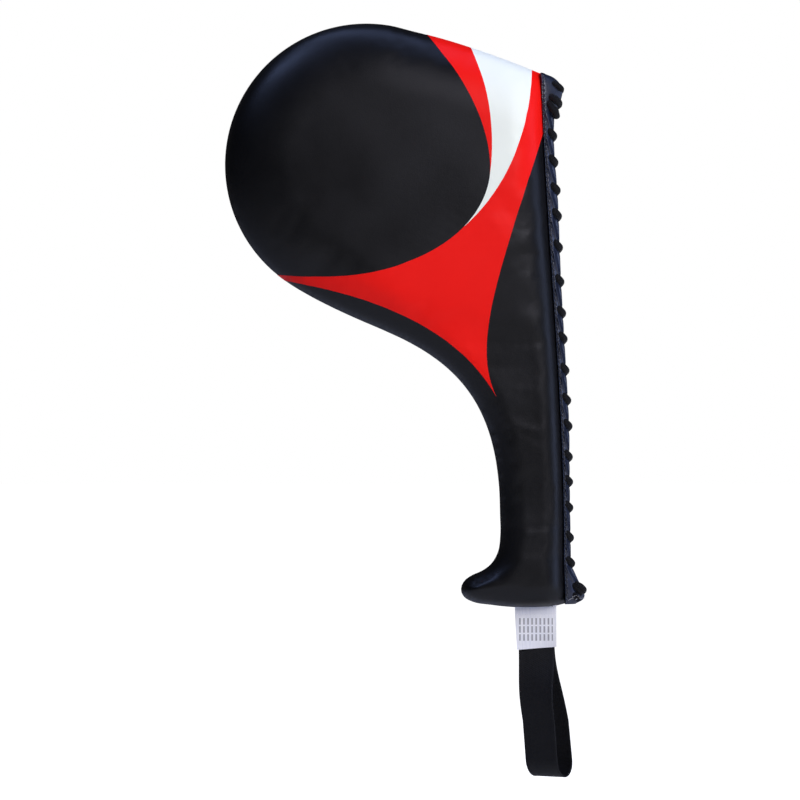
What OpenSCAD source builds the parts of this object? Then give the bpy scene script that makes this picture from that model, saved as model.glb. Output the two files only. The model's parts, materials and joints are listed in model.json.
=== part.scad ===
/* [Head and handle] */
// Radius of the round striking head
head_r = 99; // [90:1:105]
// Half of the head's thickness, cover included
head_half = 25; // [20:0.5:28]
// Half of the handle's thickness, cover included
handle_half = 17; // [15:0.5:19]
// Half of the pommel's thickness, cover included
pommel_half = 19; // [17:0.5:21]

/* [Cover and foam] */
// Thickness of the coated cover
cover_t = 1.4; // [1:0.1:2]
// Thickness of the heat-pressed colour films
film_t = 0.25; // [0.15:0.05:0.4]
// Thickness of the middle foam layer and of the board let into it
core_t = 6; // [5:0.5:8]
// Gap left between one layer and the next
layer_gap = 0.15; // [0.1:0.05:0.3]
// Gap left between a cover and the foam under it
foam_gap = 0.6; // [0.5:0.05:1]

/* [Laced edge] */
// Half thickness of the pad at the seam beside the laced edge
seam_half = 8; // [7:0.5:9]
// Thickness of the edge strips that are laced together
strip_t = 1.8; // [1.5:0.1:2.2]
// Radius of the lace
lace_r = 1.9; // [1.6:0.1:2]

/* [Wrist strap and label] */
// Width of the webbing
strap_w = 25; // [20:1:30]
// Thickness of the webbing
strap_t = 1.4; // [1.2:0.1:1.8]
// Height of the hanging loop
loop_h = 116; // [100:1:130]
// Widest inside depth of the loop
loop_d = 21; // [18:1:24]
// Turn of the loop about its own length at the bottom
loop_twist = 26; // [0:1:28]
// Width of the care label
label_w = 29; // [25:1:32]
// Height of the care label
label_h = 26; // [20:1:30]

/* [Hidden] */

black = [0.04, 0.04, 0.045];
red = [0.86, 0.06, 0.05];
white = [0.93, 0.94, 0.93];

// ---- plane curves; a plane point is [x, z]

function cubic(a, b, c, d, t) =
    a * pow(1 - t, 3) + 3 * b * t * pow(1 - t, 2) + 3 * c * t * t * (1 - t) + d * pow(t, 3);
// Points after the first one of a cubic curve, in n steps
function curve(a, b, c, d, n) = [for (i = [1:n]) cubic(a, b, c, d, i / n)];
function arc(centre, r, from, to, n) =
    [for (i = [0:n]) centre + r * [cos(from + (to - from) * i / n), sin(from + (to - from) * i / n)]];
function backwards(list) = [for (i = [len(list) - 1:-1:0]) list[i]];

// ---- outline of the covers, from the top of the head round by the left to the top again

head_c = [-118, 245];
arc_end = 236;                      // where the head's circle runs into the neck
arc_start = 71.5;                   // where the straight top edge leaves the circle
neck_start = head_c + head_r * [cos(arc_end), sin(arc_end)];
top_start = head_c + head_r * [cos(arc_start), sin(arc_start)];
top_corner = [3.6, 309];            // the laced edge's seam meets the top edge
low_corner = [20.6, -62.4];         // the laced edge's seam meets the bottom edge
low_mid = [-4, -64.8];

left_fan = arc(head_c, head_r, 90, arc_end, 18);
left_neck = concat(
    curve(neck_start, neck_start + 24 * [sin(56), -cos(56)], [-128.1, 138.7], [-106, 129.3], 4),
    curve([-106, 129.3], [-52.6, 106.6], [-24.5, 76], [-24.5, 0], 9),
    [[-24.3, -14]]);
left_toe = concat(
    curve([-24.3, -14], [-24.4, -34], [-35, -38.5], [-44, -42], 4),
    curve([-44, -42], [-54.5, -47], [-54.5, -57.5], [-44, -60.6], 5),
    curve([-44, -60.6], [-30, -63.4], [-18, -64.8], low_mid, 3));
right_toe = curve(low_mid, [6, -64.8], [14, -64], low_corner, 3);
// The seam beside the laced edge: x at height z
function seam_x(z) = cubic(19.4, 20.4, 6.4, 3.6, (z + 30) / 340);
function seam_pt(z) = z < -30 ? low_corner + ([seam_x(-30), -30] - low_corner) * (z - low_corner[1])
    / (-30 - low_corner[1]) : [seam_x(z), z];
ribs = 15;                          // cross lines between the head's centre and the pommel's
right_seam = [for (k = [ribs:-1:0]) seam_pt(k == ribs ? -38 : top_corner[1] - k * 23.85)];
top_edge = curve(top_corner, [-22, 319.5], [-56, 332], top_start, 4);
right_fan = [head_c + head_r * [cos(81), sin(81)]];

outline = concat(left_fan, left_neck, left_toe, right_toe, right_seam, top_edge, right_fan);
count = len(outline);
first_neck = len(left_fan);
first_toe = first_neck + len(left_neck);
first_seam = first_toe + len(left_toe) + len(right_toe);
first_top = first_seam + len(right_seam);

// Middle line of the pad, which every cross line meets
function spine_pt(k) = k == ribs ? [-7, -40] : k == ribs - 1 ? [-3, -16]
    : cubic([-118, 245], [-70, 205], [-3, 140], [-3, 8], k / (ribs - 2));
// Number of the cross line that outline point i is on
function rib(i) = i < first_neck ? 0 : i < first_toe ? i - first_neck + 1
    : i < first_seam ? ribs : i < first_top ? ribs - (i - first_seam) : 0;
function is_laced(i) = i >= first_seam - 1 && i < first_top;

function mix(a, b, t) = a + (b - a) * min(1, max(0, t));
function ease(t) = t * t * (3 - 2 * t);
function half_at(k) = k < 12 ? mix(head_half, handle_half, ease(min(1, max(0, (k - 3) / 7))))
    : mix(handle_half, pommel_half, (k - 13) / 2);
// How far in from the edge the surface is still rounding over
function round_in(i) = let (k = rib(i)) is_laced(i) ? mix(26, 17, (k - 2) / 8)
    : k == 0 ? 46 : k == ribs ? 17 : mix(46, 18, (k - 1) / 8);
// Half thickness at the edge itself
function edge_half(i) = is_laced(i) ? seam_half : layer_gap;

// ---- domed surface, moved in by skin, that starts at half thickness low

rings = 6;
function dome_pt(i, j, skin, low) = let (
    k = rib(i), h = half_at(k) - skin, a = round_in(i) - skin,
    p = outline[i], s = spine_pt(k), away = norm(s - p), dir = (s - p) / away,
    first = asin(max(edge_half(i) * h / half_at(k), low) / h),
    turn = first + (90 - first) * max(j, 0) / rings,
    in = min(away - 0.5, skin + a * (1 - cos(turn))),
    flat = p + dir * in)
    [flat[0], j < 0 ? -low : -h * sin(turn), flat[1]];
function dome_centre(k, skin) = let (s = spine_pt(k)) [s[0], skin - half_at(k), s[1]];
// All points: ring after ring from first_ring, then the middle line
function dome_points(skin, low, first_ring) = concat(
    [for (j = [first_ring:rings], i = [0:count - 1]) dome_pt(i, j, skin, low)],
    [for (k = [0:ribs]) dome_centre(k, skin)]);
function ring_faces(r, start, flip) = [for (j = [0:r - 2], i = [0:count - 1], half = [0, 1]) let (
    n = (i + 1) % count,
    a = start + j * count + i, b = start + j * count + n,
    c = start + (j + 1) * count + n, d = start + (j + 1) * count + i,
    tri = half == 0 ? [a, b, c] : [a, c, d]) flip ? backwards(tri) : tri];
// Faces between the last of r rings and the middle line's points, which follow it
function middle_faces(r, start, flip) = [for (i = [0:count - 1], half = [0, 1]) let (
    n = (i + 1) % count, last = start + (r - 1) * count, mid = start + r * count,
    a = last + i, b = last + n, c = mid + rib(n), d = mid + rib(i),
    tri = half == 0 ? [a, b, c] : [a, c, d])
    if (half == 0 || rib(i) != rib(n)) flip ? backwards(tri) : tri];

// Solid dome between the plane at half thickness low and the surface
module dome(skin, low) {
    r = rings + 2;
    second = r * count + ribs + 1;
    polyhedron(concat(dome_points(skin, low, -1),
        [for (k = [0:ribs]) let (s = spine_pt(k)) [s[0], -low, s[1]]]), concat(
        ring_faces(r, 0, true), middle_faces(r, 0, true),
        [for (i = [0:count - 1], half = [0, 1]) let (n = (i + 1) % count)
            if (half == 0 || rib(i) != rib(n))
                half == 0 ? [i, n, second + rib(i)] : [n, second + rib(n), second + rib(i)]]));
}

// Closed sheet between two surfaces of dome points; side is 1 in front and -1 at the back
module sheet_between(outer, inner, side) {
    r = rings + 1;
    second = len(outer);
    front = side > 0;
    polyhedron([for (p = concat(outer, inner)) [p[0], side * p[1], p[2]]], concat(
        ring_faces(r, 0, front), middle_faces(r, 0, front),
        ring_faces(r, second, !front), middle_faces(r, second, !front),
        [for (i = [0:count - 1], half = [0, 1]) let (n = (i + 1) % count,
            tri = half == 0 ? [i, second + i, second + n] : [i, second + n, n])
            front ? backwards(tri) : tri]));
}
module cover(side) {
    color(black) sheet_between(dome_points(0, 0, 0), dome_points(cover_t, 0, 0), side);
}

// ---- colour films

// Edge of the black disc: two quarters round its right side and one along its lower side
disc_top = curve([-96, 358], [-60, 322], [-31.9, 280], [-31.9, 241.5], 9);
function disc_low(t) = cubic([-31.9, 241.5], [-31.9, 218], [-50, 191.5], [-88.2, 177.1], t);
white_at = 0.58;                    // share of that side where the white panel ends
white_tip = disc_low(white_at);
white_low = [for (i = [0:3]) disc_low(white_at * i / 4)];
disc_left = concat([for (i = [1:4]) disc_low(white_at + (1 - white_at) * i / 4)],
    curve(disc_low(1), [-112, 166.5], [-148, 163], [-190, 169.5], 6));
crescent_right = curve([-54, 344], [-33, 309], [-26, 268], disc_low(0), 7);
white_right = curve([-3.6, 330], [-2, 280], [-15, 232], white_tip, 8);
swoosh_low = curve([-190, 166.5], [-122, 156], [-56, 134], [-27.7, 82.6], 9);
swoosh_right = curve([-27.7, 82.6], [-46, 122], [-24, 172], [5, 278], 9);

module swoosh_shape() polygon(concat([[-3.6, 330]], white_right, disc_left, [[-190, 166.5]],
    swoosh_low, swoosh_right, [[30, 330]]));
module crescent_shape() polygon(concat([[-96, 358]], [for (i = [0:7]) disc_top[i]],
    backwards(crescent_right), [[-54, 344]]));
module panel_shape() polygon(concat([[-54, 344]], crescent_right,
    [for (i = [1:3]) white_low[i]], backwards(white_right), [[-3.6, 330]]));

function raised(by) = [for (p = dome_points(0, 0, 0)) p - [0, by, 0]];
module film(side) {
    intersection() {
        sheet_between(raised(film_t), raised(0.02), side);
        translate([0, 20 - 17 * side, 0]) rotate([90, 0, 0]) linear_extrude(height = 40) children();
    }
}

// ---- laced edge; heights of the strip with the x of its outer edge

strip_stations = [[309, 6], [305.5, 13.5], [300.5, 17.8], [296.5, 18.8], [290, 17.6], [282, 14.2],
    [274, 12.8], [262, 13], [250, 13.4], [237, 14.8], [215, 16], [198, 16.7], [176, 17.3],
    [153, 18.5], [120, 20.4], [66, 23.6], [0, 24.3], [-20, 24.8], [-32, 25.2], [-40, 26.6],
    [-47, 30.6], [-54, 34.4], [-58.5, 33.6], [-62, 28]];
// Heights at which the lace goes over the edge; the holes are punched by hand, so the steps differ
wrap_heights = [282, 265, 246.5, 227, 209, 187, 163, 141, 123, 101, 80, 62, 40.5, 23, 5, -16, -34,
    -52.5];
wraps = len(wrap_heights);
pucker = 0.6;                       // how far a wrap pulls the strip's edge in
edge_y = 2.2;                       // half thickness of the two strips at their edge
strip_gap = 0.35;                   // from the seam to the strip's inner edge
hole_in = 2.9;                      // from the strip's edge to the middle of a hole
hole_drop = 3.4;                    // from a wrap's middle to its front hole
slit = 0.2;                         // half of the gap between the two strips

function edge_x(z) = lookup(-z, [for (s = strip_stations) [-s[0], s[1]]]);
function wrap_z(n) = lookup(n, [for (i = [0:wraps - 1]) [i, wrap_heights[i]]]);
function wrap_at(z) = lookup(-z, [for (i = [0:wraps - 1]) [-wrap_heights[i], i]]);
function pulled_x(z) = edge_x(z) - (z > wrap_z(0) || z < wrap_z(wraps - 1) ? 0
    : pucker * (0.5 + 0.5 * cos(360 * wrap_at(z))));
// Middle of the two holes of the wrap at height z
function hole_x(z) = min(edge_x(z - hole_drop), edge_x(z), edge_x(z + hole_drop)) - hole_in;
// Half thickness of the strip's outer surface, a distance in from its edge
function strip_y(z, in) = mix(edge_y, seam_half, in / (edge_x(z) - seam_pt(z)[0] - strip_gap));
strip_z = concat([309, 305.5, 300.5, 296.5, 290],
    [for (n = [0:wraps - 1], q = [0, 0.25, 0.5, 0.75]) if (n < wraps - 1 || q == 0) wrap_z(n + q)],
    [-54, -58.5, -62]);

// drop is how far above a wrap's middle its hole is
module edge_strip(drop) {
    points = [for (z = strip_z) let (x0 = seam_pt(z)[0] + strip_gap, x1 = pulled_x(z))
        each [[x0, -seam_half, z], [x1, -edge_y, z], [x1, -slit, z], [x1 - 1.2, -slit, z],
        [x0, strip_t - seam_half, z]]];
    side = 5;
    last = len(points) - side;
    faces = concat([[4, 3, 2, 1, 0]], [[last, last + 1, last + 2, last + 3, last + 4]],
        [for (s = [0:len(strip_z) - 2], e = [0:side - 1], half = [0, 1]) let (
            a = s * side + e, b = s * side + (e + 1) % side)
            half == 0 ? [b + side, a + side, a] : [b, b + side, a]]);
    difference() {
        polyhedron(points, faces);
        for (n = [0:wraps - 1])
            translate([hole_x(wrap_z(n)), 0, wrap_z(n) + drop])
                rotate([90, 0, 0]) cylinder(h = 20, r = lace_r, $fn = 16);
    }
}

// One turn of the lace: out of the front hole, over the edge and in at the back hole
function lace_turn(n) = let (z = wrap_z(n), x = edge_x(z), h = hole_x(z),
    y = strip_y(z, hole_in) + lace_r - 0.6)
    [[h, -2.4, z + 4.2], [h, -y + 0.6, z + hole_drop], [x - 1.6, -y, z + 2.4],
    [x + 1, -3.6, z + 1.2], [x + 1.4, 0, z], [x + 1, 3.6, z - 1.2], [x - 1.6, y, z - 2.4],
    [h, y - 0.6, z - hole_drop], [h, 2.4, z - 4.2]];
lace_path = [for (n = [0:wraps - 1]) each lace_turn(n)];

function unit(v) = v / norm(v);
// Round tube along a path that never runs along the steady direction
module tube(path, r, sides, steady) {
    count_p = len(path);
    pts = [for (i = [0:count_p - 1]) let (
        along = unit(path[min(i + 1, count_p - 1)] - path[max(i - 1, 0)]),
        u = unit(cross(along, steady)), v = cross(along, u))
        for (s = [0:sides - 1]) path[i] + r * (cos(360 * s / sides) * u + sin(360 * s / sides) * v)];
    polyhedron(pts, concat([[for (s = [0:sides - 1]) s]],
        [[for (s = [sides - 1:-1:0]) (count_p - 1) * sides + s]],
        [for (i = [0:count_p - 2], s = [0:sides - 1], half = [0, 1]) let (
            a = i * sides + s, b = i * sides + (s + 1) % sides)
            half == 0 ? [a, a + sides, b + sides] : [a, b + sides, b]]));
}

// Row of stitches just outside the seam, one or two to each stretch between the holes;
// way is 1 to count up from each wrap's hole and -1 to count down
stitch_in = 1.7;
module topstitch(way) {
    heights = concat([292.5, 298.5],
        [for (n = [0:wraps - 2], gap = [11.8, 17.9]) if (gap < wrap_z(n) - wrap_z(n + 1) - 3)
            way > 0 ? wrap_z(n + 1) + gap : wrap_z(n) - gap]);
    for (z = heights) {
        wide = edge_x(z) - seam_pt(z)[0] - strip_gap;
        lean = atan((seam_half - edge_y) / wide);
        x = seam_pt(z)[0] + strip_gap + stitch_in;
        translate([x, -strip_y(z, wide - stitch_in), z])
            rotate([0, 0, lean]) translate([-0.35, -0.95, -2]) cube([0.7, 0.7, 4]);
    }
}

// ---- strap and label

strap_x = 1;                        // middle of the strap where it leaves the pad
hang_z = -67.2;                     // the line the strap and the label bend about
anchor_top = -50;
strap_lean = 9.4;                   // sideways drift of the loop's bottom
bend_gap = 0.3;                     // from the bend line down to the webbing and the label
sewn_gap = 1.9;                     // from the bend line up to the sewn-in ends

// Half depth of the loop, a share t of the way down: closed at the top, round at the bottom
loop_steps = 16;
round_steps = 8;
loop_bulge = loop_d / 2 + strap_t / 2;
root_y = strap_t / 2 + 0.02;
straight = loop_h - loop_bulge - strap_t / 2;
function loop_side(t) = [mix(root_y, loop_bulge, ease(t)), -t * straight];
// Middle line of the webbing as [y, drop], front ply down, round the bottom, back ply up
loop_line = concat(
    [for (i = [0:loop_steps]) let (p = loop_side(i / loop_steps)) [-p[0], p[1]]],
    [for (i = [1:round_steps - 1]) let (a = 180 + 180 * i / round_steps)
        [loop_bulge * cos(a), -straight + loop_bulge * sin(a)]],
    [for (i = [loop_steps:-1:0]) loop_side(i / loop_steps)]);
function line_dir(i) = unit(loop_line[min(i + 1, len(loop_line) - 1)] - loop_line[max(i - 1, 0)]);
// A point of the hanging loop: across the webbing, through the loop, down
function hung(across, y, drop) = let (t = min(1, -drop / loop_h), turn = -loop_twist * ease(t))
    [strap_x + strap_lean * t + across * cos(turn) - y * sin(turn),
    across * sin(turn) + y * cos(turn), hang_z - bend_gap + drop];

// The loop, with a round head on the line it bends about
module webbing_loop() {
    translate([strap_x - strap_w / 2, 0, hang_z]) rotate([0, 90, 0])
        cylinder(h = strap_w, r = root_y + strap_t / 2, $fn = 48);
    side = 4;
    points = [for (i = [0:len(loop_line) - 1]) let (
        p = loop_line[i], d = line_dir(i), out = [d[1], -d[0]] * strap_t / 2)
        for (c = [[-1, 1], [1, 1], [1, -1], [-1, -1]])
            hung(c[0] * strap_w / 2, p[0] + c[1] * out[0], p[1] + c[1] * out[1])];
    last = len(points) - side;
    polyhedron(points, concat([[3, 2, 1, 0]], [[last, last + 1, last + 2, last + 3]],
        [for (i = [0:len(loop_line) - 2], s = [0:side - 1], half = [0, 1]) let (
            a = i * side + s, b = i * side + (s + 1) % side)
            half == 0 ? [b + side, a + side, a] : [b, b + side, a]]));
}

// ---- sub-parts

module mirrored() mirror([0, 1, 0]) children();

module front_cover() { cover(1); }
module back_cover() { cover(-1); }
module front_red_swoosh() { color(red) film(1) swoosh_shape(); }
module back_red_swoosh() { color(red) film(-1) swoosh_shape(); }
module front_red_crescent() { color(red) film(1) crescent_shape(); }
module back_red_crescent() { color(red) film(-1) crescent_shape(); }
module front_white_panel() { color(white) film(1) panel_shape(); }
module back_white_panel() { color(white) film(-1) panel_shape(); }
module front_edge_strip() { color([0.07, 0.07, 0.09]) edge_strip(hole_drop); }
module back_edge_strip() { color([0.07, 0.07, 0.09]) mirrored() edge_strip(-hole_drop); }
module front_topstitch() { color([0.1, 0.1, 0.12]) topstitch(1); }
module back_topstitch() { color([0.1, 0.1, 0.12]) mirrored() topstitch(-1); }
module edge_lace() { color([0.03, 0.03, 0.03]) tube(lace_path, lace_r, 7, [0.2, 0.1, 1]); }

// Overhand knot with its two ends left long: a trefoil curve that isn't closed
knot_size = 1.7;
knot_r = 1.3;
function knot_path(centre, up) = [for (t = [70:12:412]) centre + knot_size
    * [0.8 * (sin(t) + 2 * sin(2 * t)), -1.1 * sin(3 * t), up * (cos(t) - 2 * cos(2 * t))]];
module knot(centre, up) {
    color([0.03, 0.03, 0.03]) tube(knot_path(centre, up), knot_r, 7, [0, 1, 0]);
}
module lace_top_knot() { knot([16.5, -8.6, 295.5], 1); }
module lace_bottom_knot() { knot([27.5, -10.4, -57.5], -1); }

module strike_foam() { dome(cover_t + foam_gap, core_t / 2 + layer_gap); }
module front_strike_foam() { color([0.75, 0.77, 0.8]) strike_foam(); }
module back_strike_foam() { color([0.75, 0.77, 0.8]) mirrored() strike_foam(); }

core_inset = cover_t + 1.6;
board_top = 150;
board_low = -46;
module board_shape() {
    hull() {
        translate([-19, board_top - 13]) circle(r = 13, $fn = 48);
        translate([-2, board_low + 12]) circle(r = 12, $fn = 48);
    }
}

module core_foam() {
    color([0.35, 0.36, 0.4]) rotate([90, 0, 0]) linear_extrude(height = core_t, center = true)
        difference() {
            polygon([for (i = [0:count - 1]) let (p = dome_pt(i, 0, core_inset, core_t / 2))
                [p[0], p[2]]]);
            offset(delta = 0.1) board_shape();
            translate([strap_x - strap_w / 2 - 0.5, -70]) square([strap_w + 1, anchor_top + 70.5]);
        }
}

module handle_board() {
    color([0.72, 0.56, 0.36]) rotate([90, 0, 0])
        linear_extrude(height = core_t, center = true) board_shape();
}

// Stitches of the sewn rim, in the channel between the covers and the middle foam
module rim_seam_thread() {
    color([0.1, 0.1, 0.12]) for (i = [0:first_seam - 3]) {
        p = dome_pt(i, 0, cover_t + 0.85, 0);
        q = dome_pt(i + 1, 0, cover_t + 0.85, 0);
        run = [q[0] - p[0], q[2] - p[2]];
        translate([p[0], 0, p[2]]) rotate([0, -atan2(run[1], run[0]), 0])
            translate([0.8, -0.3, -0.3]) cube([norm(run) - 1.6, 0.6, 0.6]);
    }
}

module strap_anchor() {
    color([0.11, 0.11, 0.12]) translate([strap_x - strap_w / 2, -strap_t, hang_z + sewn_gap])
        cube([strap_w, 2 * strap_t, anchor_top - hang_z - sewn_gap]);
}

label_t = 0.3;
label_y = -root_y - strap_t / 2 - label_t / 2 - 0.08;
module label_tab() {
    color(white) translate([strap_x - label_w / 2 - 0.6, label_y - 0.35, hang_z + sewn_gap])
        cube([label_w, label_t, 3.2]);
}

module wrist_strap() { color([0.11, 0.11, 0.12]) union() { webbing_loop(); } }

// The label leans out over the strap, which opens behind it
label_lean = 5.5;
module care_label() {
    color(white) translate([strap_x - label_w / 2 - 0.6, label_y, hang_z - bend_gap])
        rotate([-label_lean, 0, 0]) translate([0, -label_t / 2, -label_h])
            cube([label_w, label_t, label_h]);
}

front_cover();
back_cover();
front_red_swoosh();
back_red_swoosh();
front_red_crescent();
back_red_crescent();
front_white_panel();
back_white_panel();
front_edge_strip();
back_edge_strip();
front_topstitch();
back_topstitch();
edge_lace();
lace_top_knot();
lace_bottom_knot();
front_strike_foam();
back_strike_foam();
core_foam();
handle_board();
rim_seam_thread();
strap_anchor();
label_tab();
wrist_strap();
care_label();
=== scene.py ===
# %% [markdown]
# # A kick target paddle, finished in Blender
#
# The real thing is a foam paddle in a black leatherette cover. It has a round head to kick at, a slim
# padded handle, one straight edge closed by a lace, and a webbing loop for the wrist. The exact parts
# come from CAD as a fixed frame. This lesson builds what the eye sees round that frame: a stretched
# cover, pressed colour films, stitches, a puckered edge, a braided lace, woven webbing and a satin label.

# %% Load the fixed frame
import json
import math

import bpy
import numpy as np
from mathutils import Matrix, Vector
from mathutils.geometry import delaunay_2d_cdt
from mathutils.kdtree import KDTree


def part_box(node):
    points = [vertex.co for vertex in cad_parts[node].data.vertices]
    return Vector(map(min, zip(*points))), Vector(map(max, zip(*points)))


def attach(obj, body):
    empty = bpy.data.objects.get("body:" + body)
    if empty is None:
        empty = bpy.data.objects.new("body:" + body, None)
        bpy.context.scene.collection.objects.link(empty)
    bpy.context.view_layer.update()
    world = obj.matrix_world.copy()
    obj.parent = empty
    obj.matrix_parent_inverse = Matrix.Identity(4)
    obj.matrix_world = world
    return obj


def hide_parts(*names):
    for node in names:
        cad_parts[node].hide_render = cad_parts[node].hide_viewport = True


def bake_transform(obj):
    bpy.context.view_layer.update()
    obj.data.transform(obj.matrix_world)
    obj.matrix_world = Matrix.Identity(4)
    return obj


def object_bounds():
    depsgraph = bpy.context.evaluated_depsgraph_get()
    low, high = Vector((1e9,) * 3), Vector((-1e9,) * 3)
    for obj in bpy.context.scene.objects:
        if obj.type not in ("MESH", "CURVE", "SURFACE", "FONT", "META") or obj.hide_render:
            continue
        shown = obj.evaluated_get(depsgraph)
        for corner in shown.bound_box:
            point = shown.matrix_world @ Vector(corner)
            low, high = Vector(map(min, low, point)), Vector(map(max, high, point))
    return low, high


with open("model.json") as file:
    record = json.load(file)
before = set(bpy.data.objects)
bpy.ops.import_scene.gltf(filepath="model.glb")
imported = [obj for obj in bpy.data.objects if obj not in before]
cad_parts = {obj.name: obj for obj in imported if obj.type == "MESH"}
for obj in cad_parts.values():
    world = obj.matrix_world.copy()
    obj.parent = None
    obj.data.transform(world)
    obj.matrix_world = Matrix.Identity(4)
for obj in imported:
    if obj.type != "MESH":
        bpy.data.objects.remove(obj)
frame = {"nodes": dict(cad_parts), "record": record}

cad_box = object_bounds()
MM = 0.001
print("CAD box in mm:", [[round(c / MM, 1) for c in corner] for corner in cad_box])

# %% [markdown]
# ## Small tools
#
# Every material here is a short chain of nodes that ends in a Principled shader. One function adds a
# node with its settings and links, and one turns an sRGB hex colour, which is what a colour chart
# gives, into the linear numbers that a renderer works in. All meshes are made from lists of points in
# millimetres, because the paddle was measured in millimetres, and turned to metres at the end.

# %% Colours, nodes and meshes
def linear(hex_colour):
    """sRGB hex such as '#16171a' as linear red, green, blue and alpha."""
    parts = [int(hex_colour[i:i + 2], 16) / 255 for i in (1, 3, 5)]
    return (*[p / 12.92 if p <= 0.04045 else ((p + 0.055) / 1.055) ** 2.4 for p in parts], 1.0)


def feed(node, inputs):
    """Sets a node's inputs to values, or links them to an output, or to another node's first output."""
    for socket, value in inputs.items():
        if isinstance(value, bpy.types.Node):
            value = value.outputs[0]
        if isinstance(value, bpy.types.NodeSocket):
            node.id_data.links.new(value, node.inputs[socket])
        else:
            node.inputs[socket].default_value = value


def add_node(tree, kind, inputs=(), **settings):
    """Adds a shader node of a kind such as "Math"; inputs are as in feed()."""
    node = tree.nodes.new("ShaderNode" + kind)
    for name, value in settings.items():
        setattr(node, name, value)
    feed(node, dict(inputs))
    return node


def start_material(name, **shader_inputs):
    """A new material with one Principled shader; returns the material, its tree and the shader."""
    material = bpy.data.materials.new(name)
    material.use_nodes = True
    tree = material.node_tree
    shader = tree.nodes["Principled BSDF"]
    for socket, value in shader_inputs.items():
        shader.inputs[socket.replace("_", " ")].default_value = value
    return material, tree, shader


def make_piece(name, points_mm, faces, material, smooth=True, uv=None):
    """A mesh object from points in millimetres; uv gives two numbers for each point, in metres."""
    mesh = bpy.data.meshes.new(name)
    mesh.from_pydata((np.asarray(points_mm, float) * MM).tolist(), [], [tuple(map(int, f)) for f in faces])
    if smooth:
        mesh.shade_smooth()
        mesh.set_sharp_from_angle(angle=math.radians(55))
    if uv is not None:
        layer = mesh.uv_layers.new(name="UVMap")
        corner = np.empty(len(mesh.loops), np.int64)
        mesh.loops.foreach_get("vertex_index", corner)
        layer.data.foreach_set("uv", np.asarray(uv, np.float32)[corner].ravel())
    mesh.materials.append(material)
    piece = bpy.data.objects.new(name, mesh)
    bpy.context.scene.collection.objects.link(piece)
    print(f"{name}: {len(mesh.vertices)} points, {len(mesh.polygons)} faces")
    return piece


def stand_for(node):
    """The piece is drawn in place of a CAD node, which is hidden."""
    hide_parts(node)


# %% [markdown]
# ## Leatherette for the cover
#
# The cover is PU leatherette: a woven backing with a polyurethane coat, rolled through an embossed
# cylinder while it is warm. The coat is nearly black and its embossed grain breaks a reflection into a
# wide soft sheen. Real grain on such a coat is about 0.6 mm across. It is drawn at 0.9 mm here, so that it
# still shows from arm's length. Handling polishes the coat a little in places, so roughness wanders.

# %% Leatherette
GRAIN = 0.9 * MM
leatherette, tree, shader = start_material(
    "black_pu_leatherette", Roughness=0.44, IOR=1.5, Specular_IOR_Level=0.3)
place = add_node(tree, "TexCoord")
patches = add_node(tree, "TexNoise", {
    "Vector": place.outputs["Object"], "Scale": 1 / (45 * MM), "Detail": 3.0, "Roughness": 0.55})
tint = add_node(tree, "Mix", {
    "Factor": patches, 6: linear("#050506"), 7: linear("#0a0a0c")}, data_type="RGBA")
polish = add_node(tree, "MapRange", {"Value": patches, 1: 0.3, 2: 0.7, 3: 0.36, 4: 0.46})
pebbles = add_node(tree, "TexVoronoi", {
    "Vector": place.outputs["Object"], "Scale": 1 / GRAIN, "Randomness": 0.9}, feature="SMOOTH_F1")
emboss = add_node(tree, "Bump", {
    "Height": pebbles, "Strength": 0.3, "Distance": 0.12 * MM}, invert=True)
feed(shader, {"Base Color": tint.outputs[2], "Roughness": polish, "Normal": emboss})
print("leatherette grain:", GRAIN / MM, "mm")

# %% [markdown]
# ## The paddle's outline, taken from the CAD parts
#
# The covers meet in a turned seam round the paddle, half a hair from the mid-plane. Those points of the
# CAD cover are its outline. On the laced side the cover ends at a groove beside the edge strip, and the
# strip's inner edge says where that is. A smooth curve through those points gives a finer outline
# than the CAD's facets, and it stays right if the CAD changes.

# %% Outline
def cad_points(node):
    """The distinct points of a CAD node, in millimetres."""
    mesh = frame["nodes"][node].data
    flat = np.empty(len(mesh.vertices) * 3)
    mesh.vertices.foreach_get("co", flat)
    return np.unique(np.round(flat.reshape(-1, 3) / MM, 3), axis=0)


def smooth_line(points, step):
    """A smooth curve through points in the plane or in space, as points a step apart."""
    p = np.asarray(points, float)
    ds = np.linalg.norm(np.diff(p, axis=0), axis=1)[:, None]
    slope = np.diff(p, axis=0) / ds
    inner = (slope[1:] * ds[:-1] + slope[:-1] * ds[1:]) / (ds[1:] + ds[:-1])
    slope = np.vstack([slope[:1], inner, slope[-1:]])
    t = np.linspace(0, 1, 24, endpoint=False)[:, None]
    runs = [p[i] * (2 * t**3 - 3 * t**2 + 1) + slope[i] * ds[i] * (t**3 - 2 * t**2 + t)
            + p[i + 1] * (3 * t**2 - 2 * t**3) + slope[i + 1] * ds[i] * (t**3 - t**2)
            for i in range(len(ds))]
    return resample(np.vstack(runs + [p[-1:]]), step)


def resample(line, step):
    along = np.concatenate([[0], np.cumsum(np.linalg.norm(np.diff(line, axis=0), axis=1))])
    at = np.linspace(0, along[-1], max(2, round(along[-1] / step) + 1))
    return np.stack([np.interp(at, along, line[:, k]) for k in range(line.shape[1])], axis=1)


SEAM_HALF = 8.0       # half thickness at the laced seam
RIM_HALF = 0.15       # half gap between the covers at the turned seam
STRIP_GAP = 0.35      # from the seam to the CAD strip's inner edge
cover_points = cad_points("front_cover")
rim = cover_points[np.abs(cover_points[:, 1] + RIM_HALF) < 0.004][:, [0, 2]]
strip_points = cad_points("front_edge_strip")
seam = strip_points[np.abs(strip_points[:, 1] + SEAM_HALF) < 0.004][:, [0, 2]]
seam = seam[np.argsort(-seam[:, 1])] - [STRIP_GAP, 0]

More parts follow.
